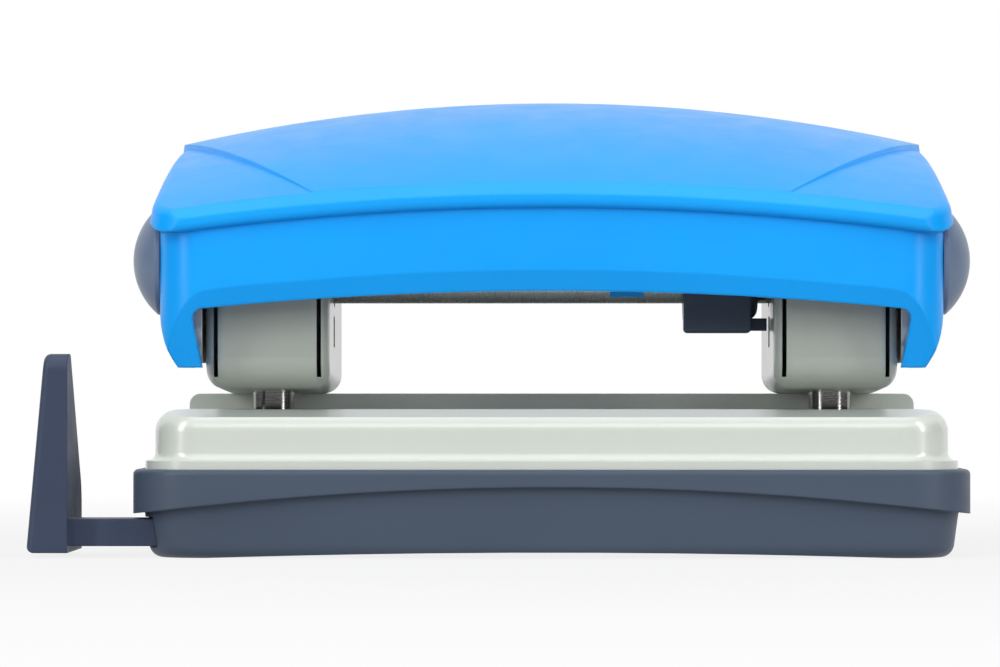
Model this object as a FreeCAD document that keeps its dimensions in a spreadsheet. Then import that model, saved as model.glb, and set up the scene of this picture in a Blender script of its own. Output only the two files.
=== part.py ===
"""Two-hole lever punch with locking handle, paper guide and hinged chip tray.

Frame: X to the right along the row of holes, with X = 0 midway between them, Y away from the
side where the paper goes in, with Y = 0 at the punch pins, and Z up from the table. All sizes
are millimetres. The handle is modelled pressed fully down, with the pins through the paper
slot, and the paper guide almost fully pushed in.
"""
import FreeCAD, Part
import math
import os

import Sketcher

# ---------------------------------------------------------------------------------------------
# Driving dimensions: alias, value, note. Each goes into a cell of the sheet "dims".
# ---------------------------------------------------------------------------------------------
DIMENSIONS = [
    ("pin_spacing", 80.0, "hole centre to hole centre"),
    ("pin_diameter", 6.0, "punch pin and punched hole"),
    ("pin_reach", 2.2, "how far a pressed pin stands below the deck"),
    ("pin_hollow", 0.9, "depth of the V ground across the pin's cutting end"),
    ("pin_head_diameter", 9.6, "head that holds the top of the spring"),
    ("pin_head_thickness", 1.6, "head that holds the top of the spring"),
    ("running_gap", 0.05, "radial clearance of a part that slides or turns in a bore"),
    ("slide_gap", 0.25, "clearance of mouldings that slide on each other"),
    ("sheet", 1.2, "steel sheet of base, housings and lever"),
    ("deck_height", 20.6, "top of the deck the paper lies on"),
    ("slot_height", 3.0, "mouth of the paper slot"),
    ("stop_height", 2.2, "rise of the paper stop above the deck"),
    ("stop_depth", 12.0, "pin centre to paper stop"),
    ("stop_inset", 2.6, "sides and back of the stop tier in from the base walls"),
    ("deck_width", 111.0, "base pressing over its walls"),
    ("deck_front", -28.6, "front wall of the base pressing"),
    ("deck_back", 61.6, "back wall of the base pressing"),
    ("deck_corner", 7.0, "plan corner radius of the base pressing"),
    ("deck_edge", 3.0, "bend radius round the top of the base pressing"),
    ("entry_drop", 1.1, "fall of the lead-in at the front of the deck"),
    ("entry_length", 8.5, "length of the lead-in"),
    ("flange_reach", 1.4, "foot flange beyond the walls"),
    ("parting_height", 12.3, "joint between base pressing and chip tray"),
    ("die_end", 5.0, "end of the die strip in from the side of the base"),
    ("die_breadth", 13.0, "die strip below the deck"),
    ("die_thickness", 1.6, "die strip below the deck"),
    ("tray_reach", 3.1, "rim of the chip tray beyond the base walls"),
    ("tray_shoulder", 2.5, "step from the rim in to the lower body"),
    ("tray_draft", 8.0, "draft of the tray's lower walls in degrees"),
    ("tray_floor", 1.5, "floor of the chip tray"),
    ("tray_edge", 2.0, "radius round the bottom of the tray"),
    ("rim_foot", 6.1, "height of the rim's lower edge at its ends"),
    ("rim_arch", 3.8, "how much higher that edge is in the middle"),
    ("foot_arch", 0.8, "hollow under the tray between its feet"),
    ("foot_length", 16.0, "flat foot at each end of the tray"),
    ("lip_thickness", 1.1, "upstand of the tray inside the base walls"),
    ("lip_height", 2.0, "upstand of the tray inside the base walls"),
    ("hinge_pin_diameter", 2.5, "hinge of the chip tray"),
    ("hinge_wall", 1.2, "wall of the hinge knuckles"),
    ("hinge_offset", 27.0, "middle of a hinge from the middle of the punch"),
    ("knuckle_length", 7.0, "one knuckle of the tray hinge"),
    ("bar_breadth", 9.7, "sliding bar of the paper guide"),
    ("bar_height", 3.8, "sliding bar of the paper guide"),
    ("bar_end", 42.5, "inner end of the sliding bar"),
    ("rib", 1.4, "ribs moulded in tray and handle"),
    ("keeper_length", 5.0, "bridges of the tray over the sliding bar"),
    ("keeper_spacing", 24.0, "from one bridge to the next"),
    ("guide_face", -67.3, "face of the end stop that the paper meets"),
    ("guide_foot", 5.8, "thickness of the end stop at its foot"),
    ("guide_tip", 3.3, "thickness of the end stop at its tip"),
    ("guide_height", 28.4, "tip of the end stop above the table"),
    ("guide_lift", 0.7, "foot of the end stop above the table"),
    ("guide_front", -28.4, "front edge of the end stop"),
    ("guide_depth", 24.0, "depth of the end stop at its foot"),
    ("guide_tip_depth", 5.5, "depth of the end stop at its tip"),
    ("guide_heel", 8.4, "height of the upright part of its back edge"),
    ("housing_width", 17.5, "punch housing over its cheeks"),
    ("housing_front", -19.0, "front face of a punch housing"),
    ("housing_back", 27.0, "back edge of a punch housing"),
    ("housing_lug", 5.2, "top edge of a punch housing above the pivot"),
    ("housing_tail", 43.0, "top edge of a housing's back panel"),
    ("housing_bend", 4.5, "bend between front panel and bottom plate"),
    ("cheek_bend", 2.7, "bend between cheek and bottom plate"),
    ("relief_gap", 0.6, "corner relief between front panel and cheek"),
    ("relief_foot", 25.2, "lower end of the corner relief"),
    ("panel_top", 43.0, "top edge of a housing's front panel"),
    ("collar_wall", 1.5, "drawn collar that guides the pin"),
    ("collar_height", 3.2, "drawn collar above the bottom plate"),
    ("rivet_diameter", 3.6, "rivets that hold a housing on the base"),
    ("rivet_head", 6.2, "rivets that hold a housing on the base"),
    ("rivet_rise", 1.3, "rivets that hold a housing on the base"),
    ("rivet_spacing", 7.6, "the pair of rivets in one housing"),
    ("rivet_depth", 20.5, "rivets behind the pin centres"),
    ("pivot_forward", 14.0, "handle pivot in front of the pin centres"),
    ("pivot_height", 41.6, "handle pivot above the table"),
    ("pivot_diameter", 6.0, "pivot pins of the handle"),
    ("pivot_flange", 7.4, "flange of a pivot pin inside the housing"),
    ("bar_diameter", 6.0, "press bar that drives the pins"),
    ("bar_centre_height", 38.8, "press bar above the table, handle down"),
    ("bar_play", 0.6, "play of the press bar in the housing slots"),
    ("lock_web", 1.3, "web between bar slot and lock hole"),
    ("lock_depth", 4.4, "height of the lock hole"),
    ("lock_breadth", 4.4, "breadth of the lock hole"),
    ("lock_forward", 1.2, "middle of the lock hole in front of the press bar"),
    ("lever_gap", 0.4, "housing cheek to lever cheek"),
    ("lever_eye", 5.0, "radius of the lever cheek round its bores"),
    ("cheek_foot", 27.2, "lower edge of the lever cheeks"),
    ("lever_front", 6.0, "front edge of the lever's web"),
    ("lever_back", 38.0, "back edge of the lever's web"),
    ("lever_lift", 2.6, "front edge of the lever's web above the housings"),
    ("lever_rise", 5.5, "rise of the lever's web to its back edge"),
    ("side_wall", 4.2, "side walls and arms of the handle shell"),
    ("shell_lip", 1.6, "overhang of the lip"),
    ("shell_front", -26.8, "front face of the handle shell"),
    ("shell_back", 51.0, "back face of the handle shell"),
    ("shell_wall", 2.3, "wall of the handle shell"),
    ("shell_corner", 6.5, "plan corner radius of the handle shell"),
    ("skirt_height", 37.2, "lower edge of the front skirt at mid-width"),
    ("bevel_height", 2.9, "height of the bevel along the skirt"),
    ("bevel_slope", 0.45, "how far the bevel leans back for each unit that it goes down"),
    ("bevel_drop", 3.7, "how much lower the bevel's upper edge is at its ends"),
    ("skirt_inset", 1.8, "side walls of the handle in front of its back edge"),
    ("skirt_drop", 3.1, "how much lower the skirt is at its ends"),
    ("lip_foot", 48.8, "underside of the lip at mid-width"),
    ("lip_drop", 3.9, "how much lower the lip is at its ends"),
    ("lip_round", 1.8, "upright face of the lip, and the bevel above it"),
    ("lip_nose", 1.1, "radius under the lip's front edge"),
    ("lip_corner", 2.6, "rounding of the lip's lower corners at its ends"),
    ("roof_draft", 10.0, "how far the sides above the lip lean in, in degrees"),
    ("crest_rise", 11.1, "highest line of the handle above the lever's web"),
    ("crest_depth", 30.0, "highest line behind the pins"),
    ("crest_drop", 6.3, "how much lower that line is at its ends"),
    ("tail_fall", 4.4, "top back edge of the handle below its highest line"),
    ("tail_round", 3.0, "radius along the back edge of the handle"),
    ("wing_step", 0.8, "raised centre panel above the side wings"),
    ("panel_front", 32.0, "half width of the raised panel at the lip"),
    ("panel_curve", 135.0, "radius of the raised panel's edges in plan"),
    ("arm_foot", 26.5, "lower end of a handle arm"),
    ("arm_gap", 0.4, "lever cheek to the inside of a handle arm"),
    ("arm_face", 4.8, "breadth of an arm's front face at the skirt"),
    ("arm_tip", 3.3, "breadth of an arm's lower end"),
    ("arm_fillet", 1.5, "radius between an arm and the skirt"),
    ("arm_round", 8.5, "radius at the lower end of an arm"),
    ("arm_back_round", 12.75, "radii behind an arm, up to the lower edge of the side wall"),
    ("arm_lean", 2.65, "how much an arm leans in at its lower end"),
    ("cap_radius", 7.6, "pivot cap"),
    ("cap_rise", 4.2, "how far a pivot cap stands out"),
    ("cap_edge", 0.7, "straight edge of a pivot cap"),
    ("catch_end", 29.6, "right end of the lock catch"),
    ("catch_length", 10.7, "length of the lock catch"),
    ("peg_length", 1.3, "locking peg beyond the end of the catch"),
    ("peg_height", 1.8, "locking peg"),
    ("peg_breadth", 1.6, "locking peg"),
    ("catch_radius", 5.4, "sleeve of the lock catch round the press bar"),
    ("catch_tab", 7.3, "finger tab of the catch below the bar's centre"),
    ("rib_spacing", 22.0, "between the ribs under the roof of the handle"),
    ("saddle_left", 8.4, "left side of the catch's stop rib"),
    ("saddle_width", 4.8, "width of the catch's stop rib"),
    ("pin_edge", 0.4, "bevel round the end of a pin"),
    ("spring_wire", 0.9, "wire of the pin springs"),
    ("spring_turns", 4.0, "turns of the pin springs"),
    ("screw_diameter", 3.0, "screws that hold the shell on the lever"),
    ("screw_head", 6.0, "screws that hold the shell on the lever"),
    ("screw_spacing", 70.0, "screws that hold the shell on the lever"),
]

doc = FreeCAD.newDocument("hole_punch")


# ---------------------------------------------------------------------------------------------
# Sizes that know their value and the sheet expression that they come from
# ---------------------------------------------------------------------------------------------
class Size:
    """A length with its value and its expression, so that both follow the sheet."""

    def __init__(self, value, text):
        self.value = float(value)
        self.text = text

    def __add__(self, other):
        return Size(self.value + number(other), "(%s + %s)" % (self.text, text(other)))

    def __radd__(self, other):
        return Size(number(other) + self.value, "(%s + %s)" % (text(other), self.text))

    def __sub__(self, other):
        return Size(self.value - number(other), "(%s - %s)" % (self.text, text(other)))

    def __rsub__(self, other):
        return Size(number(other) - self.value, "(%s - %s)" % (text(other), self.text))

    def __mul__(self, other):
        return Size(self.value * number(other), "(%s * %s)" % (self.text, text(other)))

    def __rmul__(self, other):
        return self * other

    def __truediv__(self, other):
        return Size(self.value / number(other), "(%s / %s)" % (self.text, text(other)))

    def __neg__(self):
        return Size(-self.value, "(-%s)" % self.text)


def number(size):
    return size.value if isinstance(size, Size) else float(size)


def text(size):
    return size.text if isinstance(size, Size) else "(%r)" % float(size)


def sine(degrees):
    return round(math.sin(math.radians(degrees)), 4)


def cosine(degrees):
    return round(math.cos(math.radians(degrees)), 4)


def root(size):
    return Size(math.sqrt(size.value), "sqrt(%s)" % size.text)


class Dimensions:
    """The sheet of driving dimensions, read as attributes."""

    def __init__(self, table):
        cells = doc.addObject("Spreadsheet::Sheet", "dims")
        for row, (alias, value, note) in enumerate(table, start=1):
            cells.set("A%d" % row, alias)
            cells.set("B%d" % row, repr(value))
            cells.set("C%d" % row, note)
            cells.setAlias("B%d" % row, alias)
            setattr(self, alias, Size(value, "dims.%s" % alias))


d = Dimensions(DIMENSIONS)
doc.recompute()

# Places that more than one piece shares.
pin_x = d.pin_spacing / 2
stop_top = d.deck_height + d.stop_height
slot_top = d.deck_height + d.slot_height
deck_underside = d.deck_height - d.sheet
half_deck = d.deck_width / 2
half_step = half_deck - d.stop_inset
step_back = d.deck_back - d.stop_inset
half_housing = d.housing_width / 2
pivot_y = -d.pivot_forward
bar_foot = d.bar_centre_height - d.bar_diameter / 2
bar_slot = d.bar_diameter / 2 + d.bar_play
lock_top = d.bar_centre_height - bar_slot - d.lock_web
peg_y = -d.lock_forward
screw_y = (d.lever_front + d.lever_back) / 2
guide_foot_z = d.tray_floor + d.running_gap * 2
guide_top_z = guide_foot_z + d.bar_height
tray_inside = half_deck - d.sheet - d.slide_gap - d.lip_thickness
tray_inside_front = d.deck_front + d.sheet + d.slide_gap + d.lip_thickness
tray_inside_back = d.deck_back - d.sheet - d.slide_gap - d.lip_thickness
guide_bar_front = tray_inside_front + d.slide_gap
guide_bar_back = guide_bar_front + d.bar_breadth
hinge_radius = d.hinge_pin_diameter / 2 + d.hinge_wall
hinge_y = d.deck_back + d.tray_reach + hinge_radius + d.slide_gap
housing_top = d.pivot_height + d.housing_lug
lever_inner = pin_x + half_housing + d.lever_gap
lever_outer = lever_inner + d.sheet
lever_front_height = housing_top + d.lever_lift
lever_back_height = lever_front_height + d.lever_rise
arm_inside = lever_outer + d.arm_gap
half_shell = arm_inside + d.side_wall
half_cap = half_shell + d.shell_lip
crest_height = lever_back_height + d.crest_rise
tail_height = crest_height - d.tail_fall
corner_share = 0.87  # of the lip's drop, reached where the handle's corners begin
lip_end = d.lip_foot - d.lip_drop * corner_share
collar_top = stop_top + d.sheet + d.collar_height
saddle_foot = d.skirt_height - d.running_gap * 10
web_seat = (lever_front_height + lever_back_height) / 2
web_slope = (lever_back_height - lever_front_height) / (d.lever_back - d.lever_front)
boss_radius = d.screw_head / 2 + d.shell_wall / 2
boss_foot = web_seat + boss_radius * web_slope
screw_bite = d.screw_diameter * 0.8


# ---------------------------------------------------------------------------------------------
# Sketches
# ---------------------------------------------------------------------------------------------
def vector(x, y):
    return FreeCAD.Vector(number(x), number(y), 0)


def new_body(label):
    body = doc.addObject("PartDesign::Body", label)
    body.Label = label
    return body


def new_sketch(body, name, plane, offset=0):
    """Empty sketch on one of the body's origin planes, moved along that plane's normal."""
    sketch = body.newObject("Sketcher::SketchObject", name)
    role = plane + "_Plane"
    support = [feature for feature in body.Origin.OriginFeatures if feature.Role == role]
    sketch.AttachmentSupport = [(support[0], "")]
    sketch.MapMode = "FlatFace"
    shift = FreeCAD.Vector(0, 0, number(offset))
    sketch.AttachmentOffset = FreeCAD.Placement(shift, FreeCAD.Rotation())
    if isinstance(offset, Size):
        sketch.setExpression("AttachmentOffset.Base.z", offset.text)
    return sketch


def bind(sketch, kind, *arguments):
    """Adds a dimension whose value follows its expression."""
    size = arguments[-1]
    geometry = arguments[:-1]
    index = sketch.addConstraint(Sketcher.Constraint(kind, *geometry, number(size)))
    sketch.setExpression("Constraints[%d]" % index, text(size))


def place_point(sketch, geometry, point, x, y):
    bind(sketch, "DistanceX", -1, 1, geometry, point, x)
    bind(sketch, "DistanceY", -1, 1, geometry, point, y)


def arc_centre(start, end, radius):
    """Centre of the short arc from start to end, on the left for a positive radius."""
    chord = end - start
    middle = (start + end) * 0.5
    rise = math.sqrt(max(radius * radius - chord.Length ** 2 / 4, 0.0))
    left = FreeCAD.Vector(-chord.y, chord.x, 0).normalize()
    return middle + left * math.copysign(rise, radius)


def add_outline(sketch, corners):
    """Closed outline through corners (x, y), or (x, y, radius) where an arc leaves the corner.

    A positive radius turns left along the outline, a negative one turns right.
    """
    ends = []
    for index, corner in enumerate(corners):
        start = vector(corner[0], corner[1])
        following = corners[(index + 1) % len(corners)]
        end = vector(following[0], following[1])
        if len(corner) == 2:
            geometry = sketch.addGeometry(Part.LineSegment(start, end))
            ends.append((geometry, 1, 2))
            continue
        radius = number(corner[2])
        centre = arc_centre(start, end, radius)
        first, last = (start, end) if radius > 0 else (end, start)
        circle = Part.Circle(centre, FreeCAD.Vector(0, 0, 1), abs(radius))
        first_angle = math.atan2(first.y - centre.y, first.x - centre.x)
        last_angle = math.atan2(last.y - centre.y, last.x - centre.x)
        geometry = sketch.addGeometry(Part.ArcOfCircle(circle, first_angle, last_angle))
        ends.append((geometry, 1, 2) if radius > 0 else (geometry, 2, 1))
    for index, (geometry, _, finish) in enumerate(ends):
        following, begin, _ = ends[(index + 1) % len(ends)]
        sketch.addConstraint(Sketcher.Constraint("Coincident", geometry, finish, following, begin))
    for corner, (geometry, begin, _) in zip(corners, ends):
        place_point(sketch, geometry, begin, corner[0], corner[1])
        if len(corner) == 3:
            radius = corner[2] if number(corner[2]) > 0 else -corner[2]
            bind(sketch, "Radius", geometry, radius)


def box_corners(left, right, low, high):
    return [(left, low), (right, low), (right, high), (left, high)]


def rounded_corners(left, right, low, high, radius):
    """Corners of a rectangle with quarter-round corners."""
    return [
        (left + radius, low),
        (right - radius, low, radius),
        (right, low + radius),
        (right, high - radius, radius),
        (right - radius, high),
        (left + radius, high, radius),
        (left, high - radius),
        (left, low + radius, radius),
    ]


def outline(body, name, plane, corners, offset=0):
    sketch = new_sketch(body, name, plane, offset)
    add_outline(sketch, corners)
    return sketch


def circles(body, name, plane, centres, diameter, offset=0):
    """One sketch with equal circles, the first of which carries the diameter."""
    sketch = new_sketch(body, name, plane, offset)
    axis = FreeCAD.Vector(0, 0, 1)
    for x, y in centres:
        circle = Part.Circle(vector(x, y), axis, number(diameter) / 2)
        geometry = sketch.addGeometry(circle)
        place_point(sketch, geometry, 3, x, y)
        bind(sketch, "Diameter", geometry, diameter)
    return sketch


# ---------------------------------------------------------------------------------------------
# Features
# ---------------------------------------------------------------------------------------------
def extrude(body, kind, name, profile, length, symmetric=False, reverse=False, taper=0):
    feature = body.newObject(kind, name)
    feature.Profile = profile
    feature.setExpression("Length", text(length))
    if symmetric:
        feature.SideType = "Symmetric"
    feature.Reversed = reverse
    if isinstance(taper, Size):
        feature.setExpression("TaperAngle", taper.text)
    profile.Visibility = False
    doc.recompute()
    return feature


def pad(body, name, profile, length, symmetric=False, reverse=False, taper=0):
    return extrude(body, "PartDesign::Pad", name, profile, length, symmetric, reverse, taper)


def pocket(body, name, profile, length, symmetric=False, reverse=False):
    """Cuts the profile away and makes sure that the cut met the solid."""
    before = body.Shape.Volume
    feature = extrude(body, "PartDesign::Pocket", name, profile, length, symmetric, reverse)
    if not feature.Shape.Volume < before:
        raise RuntimeError("%s in %s cuts nothing" % (name, body.Label))
    return feature


def edges_where(shape, test):
    return ["Edge%d" % (index + 1) for index, edge in enumerate(shape.Edges) if test(edge)]


def fillet(body, name, radius, test):
    """Rounds the edges of the body's tip that pass the test."""
    base = body.Tip
    names = edges_where(base.Shape, test)
    if not names:
        raise RuntimeError("%s in %s finds no edge" % (name, body.Label))
    feature = body.newObject("PartDesign::Fillet", name)
    feature.Base = (base, names)
    feature.setExpression("Radius", text(radius))
    doc.recompute()
    return feature


def revolve(body, name, corners):
    """Solid of revolution about the body's Z axis from a profile in its XZ plane."""
    sketch = outline(body, name + "_profile", "XZ", corners)
    feature = body.newObject("PartDesign::Revolution", name)
    feature.Profile = sketch
    feature.ReferenceAxis = (sketch, ["V_Axis"])
    feature.Angle = 360
    sketch.Visibility = False
    doc.recompute()
    return feature


def place(body, x=0, y=0, z=0, rotation=None):
    """Puts a body modelled about its own axis in its place in the punch."""
    base = FreeCAD.Vector(number(x), number(y), number(z))
    body.Placement = FreeCAD.Placement(base, rotation or FreeCAD.Rotation())
    for axis, size in zip("xyz", (x, y, z)):
        if isinstance(size, Size):
            body.setExpression("Placement.Base." + axis, size.text)
    doc.recompute()
    return body


def near(first, second, slack=0.02):
    return abs(first - number(second)) < slack


def lies_at(edge, axis, level):
    """True for an edge that lies wholly at one level of an axis."""
    low = getattr(edge.BoundBox, axis + "Min")
    high = getattr(edge.BoundBox, axis + "Max")
    return near(low, level) and near(high, level)


def is_upright(edge):
    box = edge.BoundBox
    return box.XLength < 0.01 and box.YLength < 0.01


# ---------------------------------------------------------------------------------------------
# Base: pressed steel cover, die strip, punch housings, rivets and pins
# ---------------------------------------------------------------------------------------------
def on_deck_wall(edge):
    """True for an edge whose middle lies on the outer wall of the base pressing."""
    middle = edge.valueAt((edge.FirstParameter + edge.LastParameter) / 2)
    corner = number(d.deck_corner)
    across = max(abs(middle.x) - (number(half_deck) - corner), 0)
    front = number(d.deck_front) + corner - middle.y
    back = middle.y - (number(d.deck_back) - corner)
    return near(math.hypot(across, max(front, back, 0)), corner)


def add_knuckle(body, name, middle, web):
    """Hinge ring round the tray's hinge axis, with the web that joins it to its sheet."""
    ring = circles(body, name + "_ring", "YZ", [(hinge_y, d.parting_height)], hinge_radius * 2,
                   offset=middle)
    pad(body, name, ring, d.knuckle_length, symmetric=True)
    strap = outline(body, name + "_strap", "YZ", web, offset=middle)
    pad(body, name + "_web", strap, d.knuckle_length, symmetric=True)


def base_plate():
    body = new_body("base_plate")
    corner = d.deck_corner
    plan = outline(body, "deck_plan", "XY", rounded_corners(
        -half_deck, half_deck, d.deck_front, d.deck_back, corner), offset=d.parting_height)
    pad(body, "deck", plan, d.deck_height - d.parting_height)
    fillet(body, "deck_bend", d.deck_edge, lambda edge: lies_at(edge, "Z", d.deck_height))
    step = outline(body, "step_plan", "XY", [
        (-half_step, d.stop_depth),
        (half_step, d.stop_depth),
        (half_step, step_back - corner, corner),
        (half_step - corner, step_back),
        (-half_step + corner, step_back, corner),
        (-half_step, step_back - corner),
    ], offset=d.parting_height)
    pad(body, "step", step, stop_top - d.parting_height)
    step_bend = d.stop_height * 0.7
    fillet(body, "step_bend", step_bend, lambda edge: lies_at(edge, "Z", stop_top)
           and not lies_at(edge, "Y", d.stop_depth))
    length, fall = d.entry_length, d.entry_drop
    lead_in = outline(body, "lead_in_profile", "YZ", [
        (d.deck_front + length, d.deck_height + fall),
        (d.deck_front - length, d.deck_height + fall),
        (d.deck_front - length, d.deck_height - fall * 2),
        (d.deck_front, d.deck_height - fall),
        (d.deck_front + length, d.deck_height),
    ])
    pocket(body, "lead_in", lead_in, d.deck_width * 2, symmetric=True)
    deck_bend = d.deck_edge - d.sheet
    for name, half, front, back, roof, bend in (
            ("front_hollow", half_deck, d.deck_front + d.sheet, d.deck_back,
             deck_underside - fall, deck_bend),
            ("deck_hollow", half_deck, d.deck_front + length, d.deck_back,
             deck_underside, deck_bend),
            ("step_hollow", half_step, d.stop_depth + d.sheet, step_back,
             stop_top - d.sheet, step_bend * 0.3)):
        inner = half - d.sheet
        hollow = outline(body, name + "_plan", "XY", rounded_corners(
            -inner, inner, front, back - d.sheet, corner - d.sheet), offset=roof)
        pocket(body, name, hollow, roof - d.parting_height)
        fillet(body, name + "_bend", bend, lambda edge: lies_at(
            edge, "Z", roof) and not lies_at(edge, "Y", front))

    reach = d.flange_reach
    ring = new_sketch(body, "flange_plan", "XY", d.parting_height)
    add_outline(ring, rounded_corners(-half_deck - reach, half_deck + reach,
                                      d.deck_front - reach, d.deck_back + reach,
                                      d.deck_corner + reach))
    inset = d.sheet / 2
    add_outline(ring, rounded_corners(-half_deck + inset, half_deck - inset,
                                      d.deck_front + inset, d.deck_back - inset,
                                      d.deck_corner - inset))
    pad(body, "flange", ring, d.sheet)
    fillet(body, "flange_bend", d.flange_reach * 0.8, lambda edge: on_deck_wall(edge)
           and lies_at(edge, "Z", d.parting_height + d.sheet))

    for side, sign in (("left", -1), ("right", 1)):
        add_knuckle(body, side + "_knuckle", d.hinge_offset * sign, box_corners(
            d.deck_back, hinge_y - d.hinge_pin_diameter / 2 - d.hinge_wall / 2,
            d.parting_height, d.parting_height + d.sheet))
    bore = circles(body, "hinge_bore", "YZ", [(hinge_y, d.parting_height)],
                   d.hinge_pin_diameter)
    pocket(body, "hinge_bores", bore, d.deck_width, symmetric=True)
    dies = circles(body, "die_openings_plan", "XY", [(-pin_x, 0), (pin_x, 0)],
                   d.pin_diameter + d.sheet / 2, offset=d.deck_height)
    pocket(body, "die_openings", dies, d.sheet * 3, symmetric=True)
    rivets = [(sign * pin_x + shift * d.rivet_spacing / 2, d.rivet_depth)
              for sign in (-1, 1) for shift in (-1, 1)]
    holes = circles(body, "rivet_holes_plan", "XY", rivets, d.rivet_diameter, offset=stop_top)
    pocket(body, "rivet_holes", holes, d.sheet * 3, symmetric=True)
    return body


def die_strip():
    body = new_body("die_strip")
    plan = outline(body, "plan", "XY", box_corners(
        -half_deck + d.die_end, half_deck - d.die_end, -d.die_breadth / 2, d.die_breadth / 2),
        offset=deck_underside)
    pad(body, "strip", plan, d.die_thickness, reverse=True)
    bores = circles(body, "bores_plan", "XY", [(-pin_x, 0), (pin_x, 0)],
                    d.pin_diameter + d.running_gap * 2, offset=deck_underside)
    pocket(body, "bores", bores, d.die_thickness * 3, symmetric=True)
    return body


def punch_housing(label, side):
    """One bent steel pressing; side is -1 for the left housing and 1 for the right one."""
    body = new_body(label)
    sheet = d.sheet
    front, back, top = d.housing_front, d.housing_back, housing_top
    prong_back = bar_slot + sheet * 2.5
    profile = outline(body, "side_profile", "YZ", [
        (front, slot_top),
        (d.stop_depth, stop_top),
        (back, stop_top),
        (back, d.housing_tail),
        (prong_back, top),
        (front, top),
    ])
    pad(body, "block", profile, d.housing_width, symmetric=True)
    bend = d.housing_bend
    fillet(body, "front_bend", bend, lambda edge: edge.BoundBox.XLength > 1
           and lies_at(edge, "Y", front) and lies_at(edge, "Z", slot_top))
    fillet(body, "side_bends", d.cheek_bend, lambda edge: edge.BoundBox.XLength < 0.01
           and near(abs(edge.BoundBox.XMin), half_housing)
           and edge.BoundBox.ZMax < number(slot_top + bend) + 0.1
           and edge.BoundBox.YMin < number(back) - 1)
    corner_round = (top - d.pivot_height) * 0.9
    corner = outline(body, "top_corner_profile", "YZ", [
        (front, top - corner_round, -corner_round),
        (front + corner_round, top),
        (front + corner_round, top + sheet),
        (front - sheet, top + sheet),
        (front - sheet, top - corner_round),
    ])
    pocket(body, "top_corner", corner, d.housing_width * 2, symmetric=True)
    inner_bend = bend - sheet
    slope = (stop_top - slot_top) / (d.stop_depth - front)
    inside = outline(body, "inside_profile", "YZ", [
        (front + sheet + inner_bend, slot_top + sheet + slope * inner_bend),
        (d.stop_depth, stop_top + sheet),
        (back - sheet, stop_top + sheet),
        (back - sheet, top + sheet),
        (front + sheet, top + sheet),
        (front + sheet, slot_top + sheet + inner_bend, inner_bend),
    ])
    pocket(body, "inside", inside, d.housing_width - sheet * 2, symmetric=True)

    panel = half_housing - sheet - d.relief_gap
    window = outline(body, "panel_top_plan", "XZ", box_corners(
        -half_housing + sheet, half_housing - sheet, d.panel_top, top + sheet),
        offset=-front)
    pocket(body, "panel_top", window, sheet * 2.5, symmetric=True)
    for name, sign in (("left", -1), ("right", 1)):
        outer_edge = (panel + d.relief_gap) * sign
        inner_edge = panel * sign
        edges = (outer_edge, inner_edge) if sign < 0 else (inner_edge, outer_edge)
        slit = outline(body, name + "_relief_plan", "XZ", box_corners(
            edges[0], edges[1], d.relief_foot, top + sheet), offset=-front)
        pocket(body, name + "_relief", slit, d.housing_bend * 1.3, symmetric=True)

    collar = circles(body, "collar_plan", "XY", [(0, 0)],
                     d.pin_diameter + (d.running_gap + d.collar_wall) * 2,
                     offset=stop_top + sheet / 2)
    pad(body, "collar", collar, collar_top - stop_top - sheet / 2)
    bore = circles(body, "bore_plan", "XY", [(0, 0)], d.pin_diameter + d.running_gap * 2,
                   offset=stop_top)
    pocket(body, "bore", bore, d.slot_height * 6, symmetric=True)
    rivets = circles(body, "rivet_holes_plan", "XY",
                     [(-d.rivet_spacing / 2, d.rivet_depth), (d.rivet_spacing / 2, d.rivet_depth)],
                     d.rivet_diameter, offset=stop_top)
    pocket(body, "rivet_holes", rivets, sheet * 4, symmetric=True)

    pivot = circles(body, "pivot_plan", "YZ", [(pivot_y, d.pivot_height)], d.pivot_diameter,
                    offset=(half_housing - sheet / 2) * side)
    pocket(body, "pivot_hole", pivot, sheet * 2, symmetric=True)
    eye = circles(body, "bar_slot_end", "YZ", [(0, d.bar_centre_height)], bar_slot * 2)
    pocket(body, "bar_slot_foot", eye, d.housing_width * 2, symmetric=True)
    slot = outline(body, "bar_slot_plan", "YZ", box_corners(
        -bar_slot, bar_slot, d.bar_centre_height, top + sheet))
    pocket(body, "bar_slot", slot, d.housing_width * 2, symmetric=True)
    lock = outline(body, "lock_hole_plan", "YZ", box_corners(
        peg_y - d.lock_breadth / 2, peg_y + d.lock_breadth / 2, lock_top - d.lock_depth,
        lock_top), offset=(half_housing - sheet / 2) * -side)
    pocket(body, "lock_hole", lock, sheet * 2, symmetric=True)
    return place(body, x=pin_x * side)


def rivet(label, x):
    body = new_body(label)
    shank, head, rise = d.rivet_diameter / 2, d.rivet_head / 2, d.rivet_rise
    low = stop_top - d.sheet
    high = stop_top + d.sheet
    flared = head * 0.9
    rim = rise * 0.35
    flat = head * 0.55
    revolve(body, "rivet", [
        (0, low - rise / 2),
        (flared, low - rise / 2),
        (flared, low),
        (shank, low),
        (shank, high),
        (head, high),
        (head, high + rim),
        (flat, high + rise),
        (0, high + rise),
    ])
    return place(body, x=x, y=d.rivet_depth)


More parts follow.
